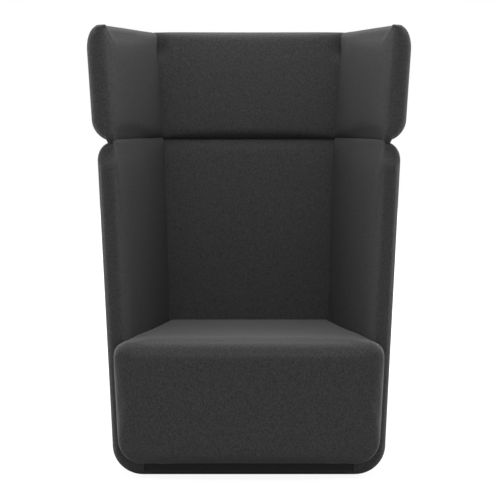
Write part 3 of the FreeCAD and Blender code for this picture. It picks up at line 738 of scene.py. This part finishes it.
def back_pad(name, shell, low, voxel, cap):
    """A swollen back pad of a shell, from a height up to the shell's top."""
    high, face, seam, hem = shell["high"], -shell["back"], -shell["top"] - under_seam, shell["hem"]
    filling = back_box(shell, face + 0.02, pad_back, low + (filling_end if hem else 0.0),
                       high - filling_end, 0.045)
    round_edges(filling, lambda a, b: abs(a.z - b.z) > 0.1 and min(a.y, b.y) > pad_back - on_plane, 0.053, 6)
    top = high + (-proud if hem else 0.003)
    crown = back_box(shell, face, seam, low - (0.004 if hem else 0.0), top, shell["wall"] - 0.010)
    round_edges(crown, lambda a, b: abs(a.z - b.z) > 0.1 and max(a.y, b.y) < face + on_plane, 0.010, 5)
    if hem:
        round_edges(crown, lambda a, b: max(a.z, b.z) < low + on_plane and max(a.y, b.y) < seam - on_plane,
                    back_hem, 6, back_round_tall)
    else:
        round_edges(crown, lambda a, b: min(a.z, b.z) > high - on_plane and max(a.y, b.y) < seam - on_plane,
                    shell["back_top"], 8, back_round_tall)
    corners = back_box(shell, face + 0.004, seam + 0.002, low - (0.002 if hem else 0.0), top,
                       seam_inset(shell) - 0.002)
    round_edges(corners, lambda a, b: abs(a.z - b.z) > 0.1 and min(a.y, b.y) > seam, corner_round, 6)
    pad = joined(name, crown, corners, filling)

    def held(co):
        depth = rear_depth(shell, co.z) + co.y * shell["back_factor"]
        edge = half_width(shell, co.z, depth, shell["wall"])
        return co.y > seam - 0.004 or abs(co.x) > edge - 0.004 or (co.z < low + 0.01 and not hem)

    swell(pad, held, voxel, cap)
    return finish_pad(pad, back_plane(shell), 8)


# %% [markdown]
# The tub's back pad starts below the seat, where the seat cushion hides its end. The
# headrest's is free at both ends, so its lower end is rounded as well, and its top is
# rounded by the smoothing alone.

# %% The two back pads
back_cushion = back_pad("back_pad", tub, 0.300, 0.006, 0.006)
head_cushion = back_pad("headrest_pad", head, head["low"], 0.0055, 0.007)
dress(back_cushion, felt_inside, "chair", "felt_inside", "back_pad_cover", "back_foam")
dress(head_cushion, felt_inside, "chair", "felt_inside", "headrest_pad_cover", "headrest_foam")

# %% [markdown]
# The felt is pulled tight where a wing meets the headrest's back, and leaves a small dimple
# in the corner, just under the top roll.

# %% Dimples in the corners of the headrest
dimple_height = head["high"] - 0.066
dimple_size = 0.050
dimple_depth = rear_depth(head, dimple_height, head["back"])
for side, wing in ((-1.0, wing_left), (1.0, wing_right)):
    spot = (side * half_width(head, dimple_height, dimple_depth, head["wall"]),
            front_y + dimple_depth, dimple_height)
    pinch(wing, spot, dimple_size, (side * 0.005, 0.002, -0.001))
    pinch(head_cushion, spot, dimple_size, (side * 0.002, 0.006, -0.001))
print("dimples %.3f m above the floor" % dimple_height)

# %% [markdown]
# The tub's front corners are the softest place: the felt turns over the top and around the
# front at once, and the foam gives way there.

# %% Soft top corners
give_size = 0.075
give_depth = 0.022
for side, pad in ((-1.0, side_left), (1.0, side_right)):
    spot = (side * (half_width(tub, tub["high"], 0.0) - 0.028), front_y, tub["high"] - 0.006)
    for piece in (pad, tub_skin):
        pinch(piece, spot, give_size, (0.0, give_depth, -0.001))
print("top corners give by up to %.3f m" % give_depth)

# %% [markdown]
# ## The seat block
#
# The seat is one upholstered block: a wide front that laps over the edges of the walls,
# and the cushion behind it, between the walls. The front is a box with four rounded
# corners and a rolled rim, the roll widest along the top. The two are joined by a remesh,
# then swollen as one.

# %% Seat front
seat_low = 0.0465
seat_lip = 0.045
side_gap = 0.017
foot_corner = 0.074
top_corner = 0.046
rim_roll = 0.030
rim_share = 0.22


def seat_front():
    """The wide front of the seat block."""
    top = seat_height - 0.004
    piece = block("seat_front", (-0.4, -seat_lip, seat_low), (0.4, -0.001, top))
    for z in (seat_low, top):
        wide = half_width(tub, z, 0.0) - side_gap
        for side in (-1.0, 1.0):
            move(piece, lambda co: abs(co.x - side * 0.4) < on_corner and abs(co.z - z) < on_corner,
                 (side * (wide - 0.4), 0.0, 0.0))
    round_edges(piece, lambda a, b: abs(a.y - b.y) > 0.02 and max(a.z, b.z) < seat_low + on_plane,
                foot_corner, 10)
    round_edges(piece, lambda a, b: abs(a.y - b.y) > 0.02 and min(a.z, b.z) > top - on_plane,
                top_corner, 8)
    layer = piece.data.attributes.new("bevel_weight_edge", "FLOAT", "EDGE")
    for edge in piece.data.edges:
        a, b = (piece.data.vertices[i].co for i in edge.vertices)
        if max(a.y, b.y) < -seat_lip + 0.001:
            rise = min(max(((a.z + b.z) / 2.0 - (top - top_corner)) / top_corner, 0.0), 1.0)
            layer.data[edge.index].value = rim_share + (1.0 - rim_share) * rise
    add_modifier(piece, "BEVEL", limit_method="WEIGHT", width=rim_roll, segments=8, use_clamp_overlap=False)
    return piece


# %% [markdown]
# The cushion behind the front is cut to the walls and the back, with 1 mm to spare, and
# starts inside the front, so that the remesh makes them one.

# %% Seat cushion
cushion_low = 0.303
cushion_top = seat_height + 0.001
cushion_start = -0.012


def seat_cushion():
    """The cushion between the walls, running back to the back pad."""
    low, start = cushion_low, cushion_start
    piece = block("seat_cushion", (-0.3, start, low), (0.3, 0.5, cushion_top))
    for z in (low, cushion_top):
        rear = rear_depth(tub, z, tub["back"]) - 0.001
        for depth, old in ((start, start), (rear, 0.5)):
            wide = half_width(tub, z, depth, tub["wall"] + 0.001)
            for side in (-1.0, 1.0):
                corner = Vector((side * 0.3, old, z))
                move(piece, lambda co: (co - corner).length < on_corner,
                     (side * (wide - 0.3), depth - old, 0.0))
    return round_edges(piece, lambda a, b: min(a.z, b.z) > seat_height - on_plane and max(a.y, b.y) > 0.1,
                       0.014, 5)


# %% [markdown]
# The felt of the seat is stapled underneath, at the rear and against the walls, so those
# places are held still while the rest swells. The pressure is low: a seat is firm.

# %% Seat block
def seat_held(co):
    """Where the seat's cover is stapled: underneath, at the rear and against the walls."""
    if co.y < 0.006:
        return co.y > -0.004 and (co.z < 0.3 or abs(co.x) > half_width(tub, co.z, 0.0, tub["wall"]))
    return co.z < 0.38 or co.y > rear_depth(tub, co.z, tub["back"]) - 0.02


seat = joined("seat_block", seat_front(), seat_cushion())
swell(seat, seat_held, 0.006, 0.005, 1.5)
finish_pad(seat, Matrix.Translation((0.0, front_y, 0.0)), 3)
dress(seat, felt_seat, "chair", "felt_seat", "seat_cover", "seat_foam")

# %% [markdown]
# ## Boards, cloth, steel and plastic
#
# What is underneath or hidden keeps its modelled shape and gets its own finish: birch
# plywood, softwood, pale foam, black under cloth, woven webbing, zinc-plated steel and
# black nylon. Wood needs rings drawn out along the board. For the others a fine speckle is
# enough, at the scale of the foam's cells, the weave or the mould's texture.

# %% Plain finishes
def wood_material(name, dark, light, scale):
    """Wood with growth rings drawn out along one axis."""
    material, tree, shader, place = new_material(name)
    rings = noise(tree, place, scale, 4.0, 0.55, (1.0, 1.0, 0.06))
    fine = noise(tree, place, scale * 9.0, 3.0, 0.6, (1.0, 1.0, 0.05))
    shade = remap(tree, combine(tree, "ADD", combine(tree, "MULTIPLY", rings, 0.7),
                                combine(tree, "MULTIPLY", fine, 0.3)), 0.35, 0.65, 0.0, 1.0)
    tree.links.new(blend_colours(tree, shade, (*dark, 1.0), (*light, 1.0)), shader.inputs["Base Color"])
    tree.links.new(remap(tree, fine, 0.3, 0.7, 0.55, 0.8), shader.inputs["Roughness"])
    add_bump(tree, shader, fine, 0.2, 0.0003)
    return material


def speckled_material(name, dark, light, scale, rough, metallic=0.0, bump=0.0003):
    """An even finish with fine speckle: foam cells, moulded plastic, plated steel or cloth."""
    material, tree, shader, place = new_material(name)
    speck = noise(tree, place, scale, 3.0, 0.6)
    cloud = noise(tree, place, scale * 0.08, 2.0)
    shade = remap(tree, combine(tree, "ADD", combine(tree, "MULTIPLY", speck, 0.6),
                                combine(tree, "MULTIPLY", cloud, 0.4)), 0.35, 0.65, 0.0, 1.0)
    tree.links.new(blend_colours(tree, shade, (*dark, 1.0), (*light, 1.0)), shader.inputs["Base Color"])
    tree.links.new(remap(tree, speck, 0.3, 0.7, rough[0], rough[1]), shader.inputs["Roughness"])
    shader.inputs["Metallic"].default_value = metallic
    add_bump(tree, shader, speck, 0.4, bump)
    return material


woods = {
    "birch_ply": ((0.5, 0.34, 0.2), (0.7, 0.54, 0.36), 30.0),
    "timber": ((0.42, 0.27, 0.14), (0.62, 0.45, 0.27), 20.0),
}
speckled = {
    "foam": ((0.62, 0.58, 0.46), (0.8, 0.77, 0.66), 700.0, (0.85, 1.0)),
    # black_cloth also colours the strip below the seat block, where its near-black is painted shade.
    "black_cloth": ((0.006, 0.006, 0.006), (0.016, 0.016, 0.017), 900.0, (0.8, 1.0)),
    "elastic": ((0.02, 0.02, 0.02), (0.06, 0.06, 0.06), 500.0, (0.7, 0.9)),
    "zinc_steel": ((0.5, 0.5, 0.48), (0.72, 0.72, 0.7), 300.0, (0.25, 0.5), 1.0, 0.00005),
    "glide_plastic": ((0.012, 0.012, 0.012), (0.024, 0.024, 0.024), 1200.0, (0.4, 0.6)),
}
finishes = {"felt_inside": felt_inside, "felt_outside": felt_outside, "felt_seat": felt_seat}
for name, values in woods.items():
    finishes[name] = wood_material(name, *values)
for name, values in speckled.items():
    finishes[name] = speckled_material(name, *values)
slots = {part["node"]: part["material_slot"] for part in frame["record"]["subparts"]}
for name, node in frame["nodes"].items():
    node.data.materials.clear()
    node.data.materials.append(finishes[slots[name]])
print("finishes on", len(frame["nodes"]), "nodes")

# %% [markdown]
# ## The shaded band under the seat
#
# Below the seat block, in place of the felt, a near-black strip closes the mouth of the tub.
# The felt there lies in the seat block's shade, and the strip's near-black colour is painted
# shade. It turns under at the same height as the felt's hem, so the chair has one dark line
# along the floor. It is a box with its lower front edge rounded, because only its front shows.

# %% Shaded band, its near-black colour painted shade
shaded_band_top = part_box("front_valance")[1]
print("valance up to %.4f" % shaded_band_top.z)
shaded_band = block("shaded_band", (-band_half - 0.004, front_y + 0.002, tub["low"]),
                (band_half + 0.004, front_y + 0.034, shaded_band_top.z))
shaded_band_front = front_y + 0.003
round_edges(shaded_band, lambda a, b: max(a.z, b.z) < tub["low"] + on_plane and max(a.y, b.y) < shaded_band_front,
            0.017, 8)
round_edges(shaded_band, lambda a, b: min(a.z, b.z) > shaded_band_top.z - on_plane and max(a.y, b.y) < shaded_band_front,
            0.002, 3)
smooth(shaded_band, 35.0)
# The near-black black_cloth finish on this strip is painted shade.
dress(shaded_band, finishes["black_cloth"], "chair", "black_cloth", "front_valance")

# %% [markdown]
# ## Levelling glides
#
# Each glide is a moulded nylon foot on a steel stud. The foot is a low disc with a soft
# rim and a dished underside; the stud is one turn of thread repeated along its length.
# Both ride with their glide, so they come down when the chair is levelled.

# %% Feet and studs
thread_pitch = 0.00125
thread_depth = 0.0007


def upright_cylinder(name, low, high, sides, ends="NGON"):
    """An upright cylinder that fills a box, with or without its ends."""
    bpy.ops.object.select_all(action="DESELECT")
    bpy.ops.mesh.primitive_cylinder_add(vertices=sides, radius=(high.x - low.x) / 2.0, depth=high.z - low.z,
                                        end_fill_type=ends, location=(low + high) / 2.0)
    piece = bpy.context.object
    piece.name = name
    bpy.ops.object.transform_apply(location=True, rotation=True, scale=True)
    return piece


def glide_foot(place):
    """A nylon foot with a soft rim and a dished underside."""
    low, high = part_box("glide_foot_" + place)
    foot = upright_cylinder("foot_" + place, low, high, 64)
    tall = high.z - low.z
    round_edges(foot, lambda a, b: abs(a.z - b.z) < 1e-6, tall * 0.22, 4)
    pick(foot, "polygons", lambda centre, normal: normal.z < -flat_face and centre.z < low.z + 1e-5)
    bpy.ops.mesh.inset(thickness=tall * 0.5)
    bpy.ops.mesh.inset(thickness=tall * 0.15)
    bpy.ops.transform.translate(value=(0.0, 0.0, tall * 0.12))
    done(foot)
    return smooth(tidy(foot, 1e-6), 35.0)


def glide_stud(place):
    """A threaded stud: one turn of thread, repeated."""
    low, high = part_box("glide_stud_" + place)
    turn_top = Vector((high.x, high.y, low.z + thread_pitch))
    stud = upright_cylinder("stud_" + place, low, turn_top, 32, "NOTHING")
    middle = (low + high) / 2.0
    cut(stud, (0.0, 0.0, low.z + thread_pitch / 2.0), (0.0, 0.0, 1.0))
    pick(stud, "vertices", lambda co: abs(co.z - low.z - thread_pitch / 2.0) > thread_pitch * 0.3)
    narrow = 1.0 - thread_depth * 2.0 / (high.x - low.x)
    bpy.ops.transform.resize(value=(narrow, narrow, 1.0), center_override=(middle.x, middle.y, low.z))
    done(stud)
    add_modifier(stud, "ARRAY", count=int((high.z - low.z) / thread_pitch), use_relative_offset=True,
                 relative_offset_displace=(0.0, 0.0, 1.0), use_merge_vertices=True, merge_threshold=1e-6)
    pick(stud, "vertices", lambda co: True)
    bpy.ops.mesh.fill_holes(sides=0)
    done(stud)
    return smooth(tidy(stud, 1e-6), 30.0)


for place in ("front_left", "front_right", "rear_left", "rear_right"):
    foot, stud = glide_foot(place), glide_stud(place)
    dress(foot, finishes["glide_plastic"], "glide_" + place, "glide_plastic", "glide_foot_" + place)
    dress(stud, finishes["zinc_steel"], "glide_" + place, "zinc_steel", "glide_stud_" + place)

# %% [markdown]
# ## Stage, lights and camera
#
# The chair stands on a plain pale floor, which keeps its shadow. The background has to be
# white, but more light would wash out the felt. So the floor is mixed with plain white
# only for the rays that come from the camera, a reflection or a clear piece, and it is all
# white only where the shadow has ended.

# %% Floor
floor_size = 30.0
floor_grey = 0.3
floor_white = 1.4
shadow_reach = (0.5, 1.8)
white_shares = (0.65, 1.0)


def seen_white(tree, shader, share, strength):
    """Mix a shader with white, by a share, for what the camera and reflections see."""
    white = tree.nodes.new("ShaderNodeEmission")
    white.inputs["Color"].default_value = (1.0, 1.0, 1.0, 1.0)
    white.inputs["Strength"].default_value = strength
    rays = tree.nodes.new("ShaderNodeLightPath").outputs
    bounced = combine(tree, "MAXIMUM", rays["Is Glossy Ray"], rays["Is Transmission Ray"])
    seen = combine(tree, "MAXIMUM", rays["Is Camera Ray"], bounced)
    mix = tree.nodes.new("ShaderNodeMixShader")
    tree.links.new(combine(tree, "MULTIPLY", seen, share), mix.inputs["Fac"])
    tree.links.new(shader, mix.inputs[1])
    tree.links.new(white.outputs["Emission"], mix.inputs[2])
    return mix.outputs["Shader"]


bpy.ops.object.select_all(action="DESELECT")
bpy.ops.mesh.primitive_plane_add(size=floor_size, location=(0.0, 0.0, 0.0))
floor = bpy.context.object
floor.name = "floor"
floor_material, floor_tree, floor_shader, floor_place = new_material("pale_floor")
floor_shader.inputs["Base Color"].default_value = (floor_grey, floor_grey, floor_grey, 1.0)
floor_shader.inputs["Roughness"].default_value = 0.9
floor_out = floor_tree.nodes["Material Output"]
distance = floor_tree.nodes.new("ShaderNodeVectorMath")
distance.operation = "LENGTH"
floor_tree.links.new(floor_place, distance.inputs[0])
share = remap(floor_tree, distance.outputs["Value"], *shadow_reach, *white_shares)
floor_surface = seen_white(floor_tree, floor_shader.outputs["BSDF"], share, floor_white)
floor_tree.links.new(floor_surface, floor_out.inputs["Surface"])
floor.data.materials.append(floor_material)

# %% [markdown]
# The world is the weak light that comes from everywhere, and the white that the camera
# sees past the floor. Its reflections keep the weak light, because even matt felt would
# pick up the white as a haze.

# %% Backdrop
fill_strength = 0.406
world = bpy.data.worlds.new("studio")
bpy.context.scene.world = world
world.use_nodes = True
world_tree = world.node_tree
backdrop = world_tree.nodes["Background"]
backdrop.inputs["Color"].default_value = (1.0, 1.0, 1.0, 1.0)
backdrop.inputs["Strength"].default_value = fill_strength
world_out = world_tree.nodes["World Output"]
white = world_tree.nodes.new("ShaderNodeBackground")
white.inputs["Color"].default_value = (1.0, 1.0, 1.0, 1.0)
white.inputs["Strength"].default_value = 1.0
paths = world_tree.nodes.new("ShaderNodeLightPath")
mix = world_tree.nodes.new("ShaderNodeMixShader")
seen = combine(world_tree, "MAXIMUM", paths.outputs["Is Camera Ray"], paths.outputs["Is Transmission Ray"])
world_tree.links.new(seen, mix.inputs["Fac"])
world_tree.links.new(backdrop.outputs["Background"], mix.inputs[1])
world_tree.links.new(white.outputs["Background"], mix.inputs[2])
world_tree.links.new(mix.outputs["Shader"], world_out.inputs["Surface"])


# %% [markdown]
# Felt is matt, so its shape shows only by the light. The strongest lights hang above and
# behind the chair and low at each side, and draw the pale rims along the top and the
# walls. Weaker ones above and beside the front light the seat and the faces. All of them
# are broad area lights, because the shadows are soft.

# %% Lights
def soft_light(name, place, aim, size, power):
    """A square area light at a place, facing a point."""
    data = bpy.data.lights.new(name, "AREA")
    data.shape = "SQUARE"
    data.size = size
    data.energy = power
    light = bpy.data.objects.new(name, data)
    bpy.context.scene.collection.objects.link(light)
    light.location = place
    light.rotation_euler = (Vector(aim) - Vector(place)).to_track_quat("-Z", "Y").to_euler()
    return light


lights = (
    ("overhead", (0.0, -0.7, 3.4), (0.0, 0.0, 0.6), 2.2, 31.6),
    ("overhead_near", (0.0, -0.3, 2.6), (0.0, 0.0, 0.6), 1.0, 11.3),
    ("side_left", (-3.0, -1.0, 1.5), (0.0, 0.0, 0.8), 1.5, 17.6),
    ("side_right", (3.0, -1.0, 1.5), (0.0, 0.0, 0.8), 1.5, 17.6),
    ("overhead_rear", (0.0, 0.8, 3.3), (0.0, 0.0, 0.6), 2.0, 62.2),
    ("strip_left", (-2.4, 0.1, 1.0), (0.0, 0.0, 0.7), 1.4, 59.7),
    ("strip_right", (2.4, 0.1, 1.0), (0.0, 0.0, 0.7), 1.4, 59.7),
)
for name, place, aim, size, power in lights:
    soft_light(name, place, aim, size, power)
print(len(lights), "lights, %.0f W in all" % sum(light[4] for light in lights))

# %% [markdown]
# The camera stands far off, at about a sitter's eye level, and is nearly level. Its lens
# is shifted down instead, so that upright edges stay nearly parallel. Focal length and
# shift are pixels of a picture that is 498 wide, turned into millimetres and shares.

# %% Camera
camera_distance = 5.711
camera_height = 1.1412
camera_pitch = 1.777
camera_focal_pixels = 1856.8
camera_rise_pixels = 83.4
frame_pixels = 498.0
sensor = 36.0
camera_data = bpy.data.cameras.new("camera")
camera_data.sensor_width = sensor
camera_data.lens = sensor * camera_focal_pixels / frame_pixels
camera_data.shift_y = -camera_rise_pixels / frame_pixels
camera_data.clip_end = 50.0
camera = bpy.data.objects.new("camera", camera_data)
bpy.context.scene.collection.objects.link(camera)
camera.location = (0.0, front_y - camera_distance, camera_height)
camera.rotation_euler = (math.radians(90.0 - camera_pitch), 0.0, 0.0)
bpy.context.scene.camera = camera
bpy.context.scene.view_settings.view_transform = "Standard"
print("lens %.1f mm" % camera_data.lens)
